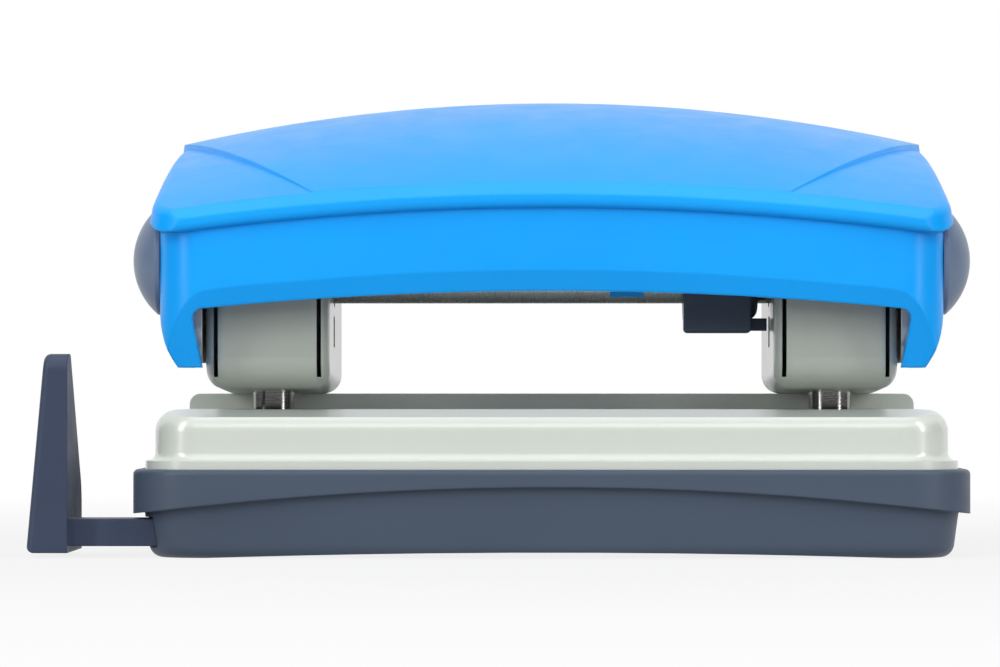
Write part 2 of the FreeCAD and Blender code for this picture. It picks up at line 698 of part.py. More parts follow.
def pivot_pin(label, side):
    """Shouldered pin riveted in a housing's outer cheek; its flange is inside the housing."""
    body = new_body(label)
    cheek = pin_x + half_housing - d.sheet
    end = half_shell - d.slide_gap
    revolve(body, "pin", [
        (0, cheek - d.sheet),
        (d.pivot_flange / 2, cheek - d.sheet),
        (d.pivot_flange / 2, cheek),
        (d.pivot_diameter / 2, cheek),
        (d.pivot_diameter / 2, end - d.pin_edge),
        (d.pivot_diameter / 2 - d.pin_edge, end),
        (0, end),
    ])
    turn = FreeCAD.Rotation(FreeCAD.Vector(0, 1, 0), 90 * side)
    return place(body, y=pivot_y, z=d.pivot_height, rotation=turn)


def hinge_pin(label, side):
    body = new_body(label)
    length = d.knuckle_length * 3 + d.slide_gap * 2
    section = circles(body, "section", "YZ", [(hinge_y, d.parting_height)],
                      d.hinge_pin_diameter, offset=d.hinge_offset * side)
    pad(body, "pin", section, length, symmetric=True)
    return body


# ---------------------------------------------------------------------------------------------
# Punch pins and their springs
# ---------------------------------------------------------------------------------------------
def punch_pin(label, side):
    body = new_body(label)
    radius = d.pin_diameter / 2
    tip = d.deck_height - d.pin_reach
    top = bar_foot - d.running_gap
    revolve(body, "pin", [
        (0, tip + d.pin_hollow),
        (radius, tip),
        (radius, top - d.pin_head_thickness),
        (d.pin_head_diameter / 2, top - d.pin_head_thickness),
        (d.pin_head_diameter / 2, top - d.pin_edge),
        (d.pin_head_diameter / 2 - d.pin_edge, top),
        (0, top),
    ])
    return place(body, x=pin_x * side)


def pin_spring(label, side):
    """Compression spring between the housing's collar and the pin's head."""
    low = collar_top + d.running_gap
    high = bar_foot - d.running_gap - d.pin_head_thickness - d.running_gap
    coil = doc.addObject("Part::Helix", label + "_coil")
    mean = d.pin_diameter / 2 + d.running_gap * 4 + d.spring_wire / 2
    height = high - low - d.spring_wire
    coil.setExpression("Radius", mean.text)
    coil.setExpression("Pitch", (height / d.spring_turns).text)
    coil.setExpression("Height", height.text)
    coil.SegmentLength = 1  # one edge for each turn
    wire = doc.addObject("Part::Circle", label + "_wire")
    wire.setExpression("Radius", (d.spring_wire / 2).text)
    wire.Placement = FreeCAD.Placement(vector(mean, 0),
                                       FreeCAD.Rotation(FreeCAD.Vector(1, 0, 0), 90))
    wire.setExpression("Placement.Base.x", mean.text)
    doc.recompute()
    spring = doc.addObject("Part::Sweep", label)
    spring.Sections = [wire]
    spring.Spine = (coil, ["Edge%d" % (i + 1) for i in range(len(coil.Shape.Edges))])
    spring.Solid = True
    spring.Frenet = True
    spring.Label = label
    return place(spring, x=pin_x * side, z=low + d.spring_wire / 2)


# ---------------------------------------------------------------------------------------------
# Handle: steel lever, press bar, moulded shell, caps and screws
# ---------------------------------------------------------------------------------------------
def lever_frame():
    """Bent steel lever: a sloping web with a cheek at each end that carries the press bar."""
    body = new_body("lever_frame")
    web = outline(body, "web_profile", "YZ", [
        (d.lever_front, lever_front_height - d.sheet),
        (d.lever_back, lever_back_height - d.sheet),
        (d.lever_back, lever_back_height),
        (d.lever_front, lever_front_height),
    ])
    pad(body, "web", web, lever_outer * 2, symmetric=True)
    for name, sign in (("left", -1), ("right", 1)):
        middle = (lever_inner + d.sheet / 2) * sign
        cheek = outline(body, name + "_cheek_profile", "YZ", [
            (pivot_y, d.cheek_foot),
            (0, d.cheek_foot),
            (d.lever_back, lever_back_height - d.lever_eye),
            (d.lever_back, lever_back_height),
            (d.lever_front, lever_front_height),
            (pivot_y, d.pivot_height + d.lever_eye, d.lever_eye),
            (pivot_y - d.lever_eye, d.pivot_height),
            (pivot_y - d.lever_eye, d.cheek_foot + d.lever_eye, d.lever_eye),
        ], offset=middle)
        pad(body, name + "_cheek", cheek, d.sheet, symmetric=True)
    pivot = circles(body, "pivot_plan", "YZ", [(pivot_y, d.pivot_height)],
                    d.pivot_diameter + d.running_gap * 2)
    pocket(body, "pivot_bores", pivot, lever_outer * 3, symmetric=True)
    bar = circles(body, "bar_plan", "YZ", [(0, d.bar_centre_height)], d.bar_diameter)
    pocket(body, "bar_bores", bar, lever_outer * 3, symmetric=True)
    screws = circles(body, "screw_holes_plan", "XY",
                     [(-d.screw_spacing / 2, screw_y), (d.screw_spacing / 2, screw_y)],
                     d.screw_diameter, offset=lever_front_height)
    pocket(body, "screw_holes", screws, lever_back_height, symmetric=True)
    return body


def press_bar():
    body = new_body("press_bar")
    section = circles(body, "section", "YZ", [(0, d.bar_centre_height)], d.bar_diameter)
    pad(body, "bar", section, lever_outer * 2 + d.arm_gap, symmetric=True)
    return body


def drop(amount, x, half):
    """How much lower a crowned line is at x than at mid-width."""
    return amount * (x * x / (half * half)) if number(x) else amount * 0


def crown_arc(start, end):
    """Radius of an arc from start to end that is level at the end which is higher."""
    across = end[0] - start[0]
    rise = end[1] - start[1]
    return (across * across + rise * rise) / (rise * 2)


def roof_line(y, x=0):
    """Height of the roof's outside at y, in front of the crest."""
    brow = (d.shell_front - d.shell_lip + d.lip_round, d.lip_foot + d.lip_round * 2)
    radius = crown_arc(brow, (d.crest_depth, crest_height))
    back = d.crest_depth - y
    return (crest_height - drop(d.crest_drop, x, half_shell) - radius
            + root(radius * radius - back * back))


def roof_section(x, lower=0, inset=0, foot=None):
    """Side profile of the crowned roof, lowered and inset for the wings and the inside."""
    front = d.shell_front - d.shell_lip + inset
    back = d.shell_back - inset
    lip = d.lip_foot - drop(d.lip_drop, x, half_shell)
    brow = (front + d.lip_round, lip + d.lip_round * 2 - lower)
    crest_z = crest_height - drop(d.crest_drop, x, half_shell) - lower
    tail_z = tail_height - drop(d.crest_drop, x, half_shell) - lower
    crest = (d.crest_depth, crest_z)
    round_off = d.tail_round
    tail = (back - round_off, tail_z)
    rise = crown_arc(brow, crest)
    fall = crown_arc(tail, crest)
    upper = [
        (back, tail_z - round_off, round_off),
        (tail[0], tail[1], fall),
        (crest[0], crest[1], rise),
        (brow[0], brow[1]),
        (front, lip + d.lip_round - lower),
    ]
    if foot is None:
        nose = d.lip_nose
        return [(front + nose, lip), (back, lip)] + upper + [(front, lip + nose, nose)]
    return [(front, foot), (back, foot)] + upper


def add_loft(body, kind, name, sections):
    """Smooth loft across the handle through side profiles given as (x, corners)."""
    sketches = [outline(body, "%s_%d" % (name, index), "YZ", corners, offset=x)
                for index, (x, corners) in enumerate(sections)]
    doc.recompute()
    loft = body.newObject(kind, name)
    loft.Profile = sketches[0]
    loft.Sections = sketches[1:]
    for sketch in sketches:
        sketch.Visibility = False
    doc.recompute()
    return loft


def combine(body, kind, name, tool):
    """Joins the body with another one, cuts that one away or keeps what both share."""
    feature = body.newObject("PartDesign::Boolean", name)
    feature.Type = kind
    feature.addObject(tool)
    doc.recompute()
    return feature


def roof_frame():
    """Room that the roof may take: round corners in plan, sides that lean in above the lip."""
    body = new_body("roof_frame")
    plan = outline(body, "frame_plan", "XY", rounded_corners(
        -half_cap, half_cap, d.shell_front - d.shell_lip - d.lip_nose,
        d.shell_back + d.tail_round, d.shell_corner + d.shell_lip), offset=lip_end)
    pad(body, "frame", plan, crest_height - lip_end + d.lip_round, taper=-d.roof_draft)
    turn = d.lip_corner
    for name, side in (("left", -1), ("right", 1)):
        corner = outline(body, name + "_lip_corner_profile", "XZ", [
            (half_cap * side, lip_end + turn, turn * -side),
            ((half_cap - turn) * side, lip_end),
            ((half_cap - turn) * side, lip_end - turn),
            ((half_cap + turn) * side, lip_end - turn),
            ((half_cap + turn) * side, lip_end + turn),
        ])
        pocket(body, name + "_lip_corner", corner, d.shell_back * 4, symmetric=True)
    return body


def wing_cutter():
    """Everything above the side wings, outside the curved edges of the raised panel."""
    body = new_body("wing_cutter")
    reach = half_cap + d.shell_lip
    sky = crest_height * 1.5
    add_loft(body, "PartDesign::AdditiveLoft", "sky", [
        (x, roof_section(x, lower=d.wing_step, inset=-d.shell_lip, foot=sky))
        for x in (-reach, 0, reach)])
    front = d.shell_front * 2
    back = d.shell_back * 2
    panel = outline(body, "panel_plan", "XY", [
        (-d.panel_front, front),
        (d.panel_front, front),
        (d.panel_front, d.shell_front - d.shell_lip, d.panel_curve),
        (half_cap, d.crest_depth),
        (half_cap, back),
        (-half_cap, back),
        (-half_cap, d.crest_depth, d.panel_curve),
        (-d.panel_front, d.shell_front - d.shell_lip),
    ])
    pocket(body, "panel_opening", panel, crest_height * 6, symmetric=True)
    return body


def cut_bevel(body):
    """Leans the skirt and the arms back, below a line that turns down at the handle's sides.

    The line turns by side_angle up to the handle's side, and runs on to end_angle outside it.
    """
    side_angle, end_angle = 48.5, 60
    slope = d.bevel_slope
    turn = d.arm_round
    start = half_shell - turn * sine(side_angle)
    level = d.skirt_height + d.bevel_height
    stations = [(half_shell * share, level - drop(d.bevel_drop, half_shell * share, half_shell))
                for share in (0, 0.25, 0.5, 0.7)]
    for angle in range(0, end_angle + 1, 15):
        x = start + turn * sine(angle)
        fall = drop(d.bevel_drop, x, half_shell) + turn * (1 - cosine(angle))
        stations.append((x, level - fall))
    mirrored = [(-x, z) for x, z in reversed(stations[1:])]
    reach = turn * 2
    front = d.shell_front
    add_loft(body, "PartDesign::SubtractiveLoft", "front_bevel", [
        (x, [(front - reach * slope, z + reach),
             (front - reach * slope, z - reach),
             (front + reach * slope, z - reach)])
        for x, z in mirrored + stations])


def handle_skirt():
    """Front wall, side walls and arms below the lip: one front view, cut to its side view.

    Behind the arm, the lower edge curves up at most at the steep angle, then runs on at the
    shallow one.
    """
    body = new_body("handle_skirt")
    front, foot = d.shell_front, d.arm_foot
    back = d.shell_back - d.skirt_inset
    knee = foot + d.arm_round
    tip = half_shell - d.arm_lean
    face = half_shell - d.arm_face
    root_x = face - d.arm_fillet
    rise = drop(d.skirt_drop, root_x, half_shell)
    skirt_end = d.skirt_height - rise
    top = lip_end + d.lip_round
    lift = d.lip_foot - lip_end
    lean_arc = (d.arm_round * d.arm_round + d.arm_lean * d.arm_lean) / (d.arm_lean * 2)
    front_view = outline(body, "front_view", "XZ", [
        (-tip, foot),
        (-tip + d.arm_tip, foot),
        (-face, skirt_end - d.arm_fillet, -d.arm_fillet),
        (-root_x, skirt_end, -(root_x * root_x + rise * rise) / (rise * 2)),
        (root_x, skirt_end, -d.arm_fillet),
        (face, skirt_end - d.arm_fillet),
        (tip - d.arm_tip, foot),
        (tip, foot, lean_arc),
        (half_shell, knee),
        (half_shell, top, (half_shell * half_shell + lift * lift) / (lift * 2)),
        (-half_shell, top),
        (-half_shell, knee, lean_arc),
    ], offset=-front)
    pad(body, "walls", front_view, back - front, reverse=True)
    heel = pivot_y + d.arm_round / 2
    turn = d.arm_back_round
    steep, shallow = 60, 13
    side_view = outline(body, "side_view", "YZ", [
        (heel, foot, turn),
        (heel + turn * sine(steep), foot + turn * (1 - cosine(steep)), -turn),
        (heel + turn * (sine(steep) * 2 - sine(shallow)),
         foot + turn * (1 + cosine(shallow) - cosine(steep) * 2)),
        (back + turn, top),
        (back + turn, foot - turn),
        (heel, foot - turn),
    ])
    pocket(body, "sides", side_view, half_cap * 4, symmetric=True)
    around = new_sketch(body, "corner_plan", "XY", 0)
    add_outline(around, box_corners(-half_shell * 2, half_shell * 2, front * 3, back * 3))
    add_outline(around, rounded_corners(-half_shell, half_shell, front, back, d.shell_corner))
    pocket(body, "corners", around, crest_height * 4, symmetric=True)
    return body


def fill_arms(body):
    """Closes the front of each arm, in front of the lever's cheek."""
    face = half_shell - d.arm_face
    tip = half_shell - d.arm_lean
    top = d.skirt_height - d.skirt_drop
    back = pivot_y - d.lever_eye - d.arm_gap
    for name, sign in (("left", -1), ("right", 1)):
        front_view = outline(body, name + "_arm_front", "XZ", [
            ((tip - d.arm_tip) * sign, d.arm_foot),
            ((arm_inside + d.arm_gap) * sign, d.arm_foot),
            ((arm_inside + d.arm_gap) * sign, top),
            (face * sign, top),
            (face * sign, top - d.arm_fillet),
        ], offset=-back)
        pad(body, name + "_arm_block", front_view, back - d.shell_front - d.arm_gap)


def handle_shell():
    body = new_body("handle_shell")
    wall = d.shell_wall
    reach = half_cap + d.shell_lip
    add_loft(body, "PartDesign::AdditiveLoft", "roof",
             [(x, roof_section(x)) for x in (-reach, 0, reach)])
    combine(body, "Common", "roof_sides", roof_frame())
    combine(body, "Cut", "wings", wing_cutter())
    fillet(body, "side_edges", d.shell_lip, lambda edge: edge.BoundBox.YLength
           > number(d.crest_depth) and edge.BoundBox.ZMin > number(lip_end + d.shell_lip * 2)
           and min(abs(edge.BoundBox.XMin), abs(edge.BoundBox.XMax))
           > number(half_cap - d.shell_lip * 2))
    combine(body, "Fuse", "skirt", handle_skirt())
    add_loft(body, "PartDesign::SubtractiveLoft", "inside", [
        (x, roof_section(x, lower=wall + d.wing_step, inset=wall + d.shell_lip,
                         foot=d.arm_foot - wall)) for x in (-arm_inside, 0, arm_inside)])
    fill_arms(body)
    cut_bevel(body)

    pivot = circles(body, "pivot_plan", "YZ", [(pivot_y, d.pivot_height)],
                    d.pivot_diameter + d.running_gap * 2)
    pocket(body, "pivot_bores", pivot, half_shell * 4, symmetric=True)
    for name, sign in (("left", -1), ("right", 1)):
        seat = circles(body, name + "_cap_seat_plan", "YZ", [(pivot_y, d.pivot_height)],
                       (d.cap_radius + d.running_gap) * 2,
                       offset=(half_shell + d.shell_lip) * sign)
        pocket(body, name + "_cap_seat", seat, d.shell_lip * 2, symmetric=True)

    bite = wall * 0.6  # how far ribs and bosses run into the wall
    rib_front = d.shell_front + bite
    rib_back = d.lever_front - d.rib
    brow_back = d.shell_front + wall + d.lip_round
    for index, x in enumerate((-d.rib_spacing, 0, d.rib_spacing)):
        rib = outline(body, "rib_profile_%d" % index, "YZ", [
            (rib_front, d.lip_foot - d.rib * 2),
            (0, d.bar_centre_height + d.bar_diameter),
            (rib_back, lever_front_height),
            (rib_back, roof_line(rib_back, x) - bite),
            (brow_back, roof_line(brow_back, x) - bite),
            (rib_front, roof_line(brow_back, x) - bite * 2.5),
        ], offset=x)
        pad(body, "rib_%d" % index, rib, d.rib, symmetric=True)

    saddle_back = -d.bar_diameter / 2 - d.running_gap
    saddle_x = d.saddle_left + d.saddle_width / 2
    saddle_top = roof_line(saddle_back, saddle_x) - bite
    saddle_wall = outline(body, "saddle_profile", "YZ", box_corners(
        saddle_back - d.rib, saddle_back, saddle_foot, saddle_top), offset=saddle_x)
    pad(body, "saddle", saddle_wall, d.saddle_width, symmetric=True)

    for name, sign in (("left", -1), ("right", 1)):
        boss = circles(body, name + "_boss_plan", "XY", [(sign * d.screw_spacing / 2, screw_y)],
                       boss_radius * 2, offset=boss_foot)
        pad(body, name + "_boss", boss,
            roof_line(screw_y, d.screw_spacing / 2) - bite * 1.3 - boss_foot)
        core = circles(body, name + "_core_plan", "XY", [(sign * d.screw_spacing / 2, screw_y)],
                       d.screw_diameter, offset=boss_foot)
        pocket(body, name + "_core", core, screw_bite * 2, symmetric=True)
    return body


def pivot_cap(label, side):
    """Domed cap on the outside of a handle arm, turned about the pivot axis."""
    body = new_body(label)
    start = half_shell
    radius = d.cap_radius
    edge = d.cap_edge
    dome = d.cap_rise - edge
    curve = (radius * radius + dome * dome) / (dome * 2)
    revolve(body, "cap", [
        (0, start),
        (radius, start),
        (radius, start + edge, curve),
        (0, start + d.cap_rise),
    ])
    turn = FreeCAD.Rotation(FreeCAD.Vector(0, 1, 0), 90 * side)
    return place(body, y=pivot_y, z=d.pivot_height, rotation=turn)


def shell_screw(label, side):
    body = new_body(label)
    head = d.screw_head / 2
    shank = d.screw_diameter / 2
    seat = web_seat - d.sheet - head * web_slope
    head_height = d.screw_diameter * 0.6
    rim = head_height / 3
    flat = head * 0.7
    revolve(body, "screw", [
        (0, seat - head_height),
        (flat, seat - head_height),
        (head, seat - rim),
        (head, seat),
        (shank, seat),
        (shank, boss_foot + screw_bite - d.slide_gap),
        (0, boss_foot + screw_bite),
    ])
    return place(body, x=d.screw_spacing / 2 * side, y=screw_y)


# ---------------------------------------------------------------------------------------------
# Lock catch
# ---------------------------------------------------------------------------------------------
def lock_catch():
    """Sleeve on the press bar with a finger tab and the peg that enters the lock hole."""
    body = new_body("lock_catch")
    middle = d.catch_end - d.catch_length / 2
    peg_root = d.catch_radius / 2
    set_in = d.catch_radius * 0.1
    sleeve = circles(body, "sleeve_plan", "YZ", [(0, d.bar_centre_height)], d.catch_radius * 2,
                     offset=middle)
    pad(body, "sleeve", sleeve, d.catch_length, symmetric=True)
    fillet(body, "nose", d.catch_radius * 0.3, lambda edge: lies_at(edge, "X", d.catch_end))
    tab = outline(body, "tab_plan", "YZ", box_corners(
        -d.catch_radius, -set_in, d.bar_centre_height - d.catch_tab, d.bar_centre_height),
        offset=middle - set_in)
    pad(body, "tab", tab, d.catch_length - set_in * 2, symmetric=True)
    fillet(body, "tab_edges", d.sheet / 2, lambda edge: lies_at(
        edge, "Z", d.bar_centre_height - d.catch_tab))
    peg = outline(body, "peg_plan", "YZ", box_corners(
        peg_y - d.peg_breadth / 2, peg_y + d.peg_breadth / 2,
        lock_top - d.slide_gap - d.peg_height, lock_top - d.slide_gap),
        offset=d.catch_end - peg_root)
    pad(body, "peg", peg, peg_root + d.peg_length)
    bore = circles(body, "bore_plan", "YZ", [(0, d.bar_centre_height)],
                   d.bar_diameter + d.running_gap * 2, offset=middle)
    pocket(body, "bore", bore, d.catch_length * 2, symmetric=True)
    return body


# ---------------------------------------------------------------------------------------------
# Chip tray and paper guide
# ---------------------------------------------------------------------------------------------
def chip_tray():
    body = new_body("chip_tray")
    half_rim = half_deck + d.tray_reach
    rim_front = d.deck_front - d.tray_reach
    rim_back = d.deck_back + d.tray_reach
    rim_corner = d.deck_corner + d.tray_reach
    rim = outline(body, "rim_plan", "XY", rounded_corners(
        -half_rim, half_rim, rim_front, rim_back, rim_corner), offset=d.rim_foot)
    pad(body, "rim", rim, d.parting_height - d.rim_foot)
    curve = (half_rim * half_rim + d.rim_arch * d.rim_arch) / (d.rim_arch * 2)
    arch = outline(body, "rim_arch_profile", "XZ", [
        (-half_rim, d.rim_foot),
        (half_rim, d.rim_foot, curve),
    ])
    pocket(body, "rim_arch", arch, d.deck_back * 4, symmetric=True)
    shoulder = d.tray_shoulder
    lower = outline(body, "lower_plan", "XY", rounded_corners(
        -half_rim + shoulder, half_rim - shoulder, rim_front + shoulder, rim_back - shoulder,
        rim_corner - shoulder))
    pad(body, "lower_body", lower, d.parting_height, taper=d.tray_draft)
    fillet(body, "bottom_edge", d.tray_edge, lambda edge: lies_at(edge, "Z", 0))
    fillet(body, "rim_edge", d.rib / 2, lambda edge: lies_at(edge, "Z", d.parting_height)
           and edge.BoundBox.YMin < number(d.deck_front) or lies_at(edge, "Z", d.parting_height))
    half_foot = half_rim - shoulder - d.foot_length / 2
    sole = (half_foot * half_foot + d.foot_arch * d.foot_arch) / (d.foot_arch * 2)
    foot = outline(body, "foot_arch_profile", "XZ", [(-half_foot, 0), (half_foot, 0, sole)])
    pocket(body, "foot_arch", foot, d.deck_back * 4, symmetric=True)

    inner_corner = d.deck_corner - d.sheet - d.slide_gap - d.lip_thickness
    lip = d.lip_thickness
    upstand = outline(body, "upstand_plan", "XY", rounded_corners(
        -tray_inside - lip, tray_inside + lip, tray_inside_front - lip, tray_inside_back + lip,
        inner_corner + lip), offset=d.parting_height)
    pad(body, "upstand", upstand, d.lip_height)
    well = outline(body, "well_plan", "XY", rounded_corners(
        -tray_inside, tray_inside, tray_inside_front, tray_inside_back, inner_corner),
        offset=d.tray_floor)
    pocket(body, "well", well, d.parting_height + d.lip_height, reverse=True)

    rib_back = guide_bar_back + d.slide_gap + d.rib
    rib = outline(body, "rib_plan", "XY", box_corners(
        -tray_inside - d.rib, tray_inside + d.rib, guide_bar_back + d.slide_gap, rib_back),
        offset=d.tray_floor / 2)
    pad(body, "channel_rib", rib, guide_top_z - d.tray_floor / 2)
    first = -tray_inside + d.keeper_length / 2
    for index, start in enumerate((first, first + d.keeper_spacing)):
        keeper = outline(body, "keeper_plan_%d" % index, "XY", box_corners(
            start - d.keeper_length / 2, start + d.keeper_length / 2,
            tray_inside_front - d.rib / 2, rib_back), offset=d.tray_floor / 2)
        pad(body, "keeper_%d" % index, keeper,
            guide_top_z + d.slide_gap + d.rib - d.tray_floor / 2)
    channel = outline(body, "channel_profile", "YZ", box_corners(
        tray_inside_front, guide_bar_back + d.slide_gap, d.tray_floor,
        guide_top_z + d.slide_gap), offset=tray_inside)
    pocket(body, "channel", channel, half_rim * 2)

    for side, sign in (("left", -1), ("right", 1)):
        for place_name, shift in (("inner", -1), ("outer", 1)):
            middle = sign * d.hinge_offset + shift * (d.knuckle_length + d.slide_gap)
            add_knuckle(body, "%s_%s_knuckle" % (side, place_name), middle, box_corners(
                rim_back - d.rib, hinge_y - d.hinge_pin_diameter / 2 - d.hinge_wall / 2,
                d.parting_height - hinge_radius, d.parting_height - d.slide_gap))
    bore = circles(body, "hinge_bore", "YZ", [(hinge_y, d.parting_height)],
                   d.hinge_pin_diameter + d.running_gap * 2)
    pocket(body, "hinge_bores", bore, half_rim * 3, symmetric=True)
    return body


def paper_guide():
    """Sliding bar with the upright end stop, one moulding."""
    body = new_body("paper_guide")
    face = d.guide_face
    top = d.guide_height
    front = d.guide_front
    fin = outline(body, "fin_profile", "YZ", [
        (front, d.guide_lift),
        (front + d.guide_depth, d.guide_lift),
        (front + d.guide_depth, d.guide_lift + d.guide_heel),
        (front + d.guide_tip_depth, top),
        (front, top),
    ], offset=face)
    pad(body, "fin", fin, d.guide_foot, reverse=True)
    fillet(body, "fin_tip", d.guide_tip_depth * 0.4, lambda edge: edge.BoundBox.XLength > 1
           and near(edge.BoundBox.ZMin, top))
    fillet(body, "fin_heel", d.guide_foot, lambda edge: edge.BoundBox.XLength > 1
           and near(edge.BoundBox.ZMin, d.guide_lift + d.guide_heel))
    taper = outline(body, "taper_profile", "XZ", [
        (face - d.guide_foot, d.guide_lift),
        (face - d.guide_tip, top),
        (face - d.guide_tip, top * 1.1),
        (face - d.guide_foot * 1.5, top * 1.1),
        (face - d.guide_foot * 1.5, d.guide_lift),
    ])
    pocket(body, "fin_taper", taper, top * 4, symmetric=True)
    fillet(body, "fin_edges", d.guide_tip * 0.3, lambda edge: edge.Length > 2
           and edge.BoundBox.XMax < number(face) - 0.5)
    bar = outline(body, "bar_plan", "YZ", box_corners(
        guide_bar_front, guide_bar_back, guide_foot_z, guide_top_z), offset=face - d.rib)
    pad(body, "bar", bar, d.bar_end - face + d.rib)
    fillet(body, "bar_edges", d.rib * 0.4, lambda edge: lies_at(edge, "X", d.bar_end))
    return body


# ---------------------------------------------------------------------------------------------
# The whole punch
# ---------------------------------------------------------------------------------------------
def build():
    pieces = [base_plate(), die_strip()]
    for word, side in (("left", -1), ("right", 1)):
        pieces.append(punch_housing(word + "_punch_housing", side))
        pieces.append(pivot_pin(word + "_pivot_pin", side))
        pieces.append(hinge_pin(word + "_tray_hinge_pin", side))
        pieces.append(punch_pin(word + "_punch_pin", side))
        pieces.append(pin_spring(word + "_pin_spring", side))
        pieces.append(pivot_cap(word + "_pivot_cap", side))
        pieces.append(shell_screw(word + "_shell_screw", side))
        for place_name, shift in (("inner", -side), ("outer", side)):
            pieces.append(rivet("%s_%s_rivet" % (word, place_name),
                                pin_x * side + d.rivet_spacing / 2 * shift))
    pieces += [lever_frame(), press_bar(), handle_shell(), lock_catch(), chip_tray(),
               paper_guide()]
    doc.recompute()
    return pieces


def check(pieces):
    """Stops if any object failed to compute or any piece is not one sound solid."""
    for item in doc.Objects:
        if "Invalid" in item.State or "Error" in item.State:
            raise RuntimeError("%s (%s) failed to compute" % (item.Name, item.Label))
    for piece in pieces:
        shape = piece.Shape
        if shape.isNull() or not shape.isValid():
            raise RuntimeError("%s has no valid shape" % piece.Label)
        if len(shape.Solids) != 1:
            raise RuntimeError("%s is %d solids" % (piece.Label, len(shape.Solids)))


def write(pieces):
    os.makedirs("parts", exist_ok=True)
    for piece in pieces:
        piece.Shape.exportStep("parts/%s.step" % piece.Label)


punch = build()
check(punch)
write(punch)
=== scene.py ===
"""Two-hole desk punch: finishes, springs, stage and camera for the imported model.

Frame: metres, +Z up from the table, +Y away from the paper side, X = 0 midway between the pins.
"""
import math

import bmesh
import bpy
from bpy.props import FloatProperty, FloatVectorProperty, IntProperty, PointerProperty
from mathutils import Matrix, Vector


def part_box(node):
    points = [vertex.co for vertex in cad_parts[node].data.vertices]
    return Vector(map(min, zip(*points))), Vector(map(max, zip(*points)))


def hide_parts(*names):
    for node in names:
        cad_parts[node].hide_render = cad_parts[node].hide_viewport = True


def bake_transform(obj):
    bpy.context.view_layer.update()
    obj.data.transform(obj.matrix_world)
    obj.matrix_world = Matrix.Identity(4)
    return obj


bl_info = {
    "name": "Two-hole punch",
    "version": (1, 0, 0),
    "blender": (4, 5, 0),
    "location": "View3D > Sidebar > Punch",
    "description": "Dresses a two-hole desk punch and sets its stage",
    "category": "Object",
}

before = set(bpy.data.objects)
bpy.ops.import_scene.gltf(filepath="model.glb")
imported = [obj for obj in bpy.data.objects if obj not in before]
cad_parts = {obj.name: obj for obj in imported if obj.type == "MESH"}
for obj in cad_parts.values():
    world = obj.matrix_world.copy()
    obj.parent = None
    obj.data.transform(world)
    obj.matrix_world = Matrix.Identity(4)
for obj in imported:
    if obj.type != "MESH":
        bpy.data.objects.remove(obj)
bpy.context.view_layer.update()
sides = ("left", "right")

NOISE_RANGE = (0.3, 0.7)            # where nearly all the values of a noise lie
MIX_FIRST, MIX_SECOND = 6, 7        # colour inputs of a Mix node
MIX_COLOUR = 2                      # and its colour output
UNSTRETCHED = (1.0, 1.0, 1.0)       # grain that runs no one way
WHITE = (1.0, 1.0, 1.0)
SPRING_STEPS = 32                   # wire sections in one turn
CLOSED_PITCH = 1.03                 # rise of a closed turn, in wire thicknesses
SENSOR_WIDTH = 36.0                 # of the camera, in millimetres
NEAREST = 0.01                      # distance that the camera sees from
FLOOR_REACH = 3.0                   # half the floor's side
LIGHT_AIM = (0, 0, 0.03)            # middle of the punch, which the softboxes face

# Softboxes: place, width, height, power setting, seen in gloss
SOFTBOXES = {
    "left_softbox": ((-0.79, -0.52, 0.42), 0.10, 0.8, "key", True),
    "right_softbox": ((0.79, -0.52, 0.42), 0.10, 0.8, "key", True),
    "top_softbox": ((0, -0.15, 0.95), 0.9, 0.7, "top", True),
    "front_softbox": ((0, -1.00, 0.62), 1.0, 0.35, "front", True),
    "low_softbox": ((0, -1.10, 0.30), 1.2, 0.25, "low", False),
}
# Dark cards: half width, half height, place, turn about Z
DARK_FLAGS = {
    "dark_flag": (1.3, 0.42, (0.0, -1.25, 0.20), 0.0),
    "left_dark_flag": (0.53, 0.42, (-1.15, -0.03, 0.20), math.pi / 2),
    "right_dark_flag": (0.53, 0.42, (1.15, -0.03, 0.20), math.pi / 2),
}


# ---------------------------------------------------------------------------------------------
# Settings
# ---------------------------------------------------------------------------------------------
def colour(name, description, default):
    return FloatVectorProperty(name=name, description=description, subtype="COLOR",
                               size=3, min=0.0, max=1.0, default=default)


def length(name, description, default):
    return FloatProperty(name=name, description=description, unit="LENGTH",
                         precision=5, min=0.0, default=default)


class PunchFinishes(bpy.types.PropertyGroup):
    """Colours of the punch, in linear light."""

    handle: colour("Handle", "Blue of the moulded handle", (0.001, 0.355, 0.945))
    paint: colour("Paint", "Pale grey enamel of the base", (0.60, 0.64, 0.58))
    # The housings' darker grey is the base's enamel with painted shade from the handle above.
    housing: colour("Housings", "Darker grey enamel of the housings", (0.36, 0.39, 0.35))
    dark: colour("Tray", "Slate of the tray, caps and catch", (0.060, 0.082, 0.122))
    guide: colour("Guide", "Slate of the paper guide", (0.037, 0.051, 0.094))
    steel: colour("Steel", "Ground steel of pins and bar", (0.60, 0.59, 0.57))
    pin: colour("Pins", "Hardened steel of the punch pins", (0.26, 0.255, 0.25))
    zinc: colour("Zinc", "Plated sheet of the lever", (0.50, 0.50, 0.51))


class PunchSizes(bpy.types.PropertyGroup):
    """Sizes of what is modelled here."""

    wire: length("Spring wire", "Thickness of the spring wire", 0.0009)
    end_turns: FloatProperty(name="End turns", description="Closed turns at each end",
                             min=0.25, max=2.0, default=0.75)
    active_turns: FloatProperty(name="Active turns", description="Open turns between the ends",
                                min=1.0, max=8.0, default=2.5)
    wire_sides: IntProperty(name="Wire sides", description="Faces round the wire",
                            min=6, max=24, default=12)
    edge: length("Edge", "Radius that softens the edges of moulded parts", 0.0004)
    bend: length("Sheet edge", "Radius that softens the edges of pressed parts", 0.00018)


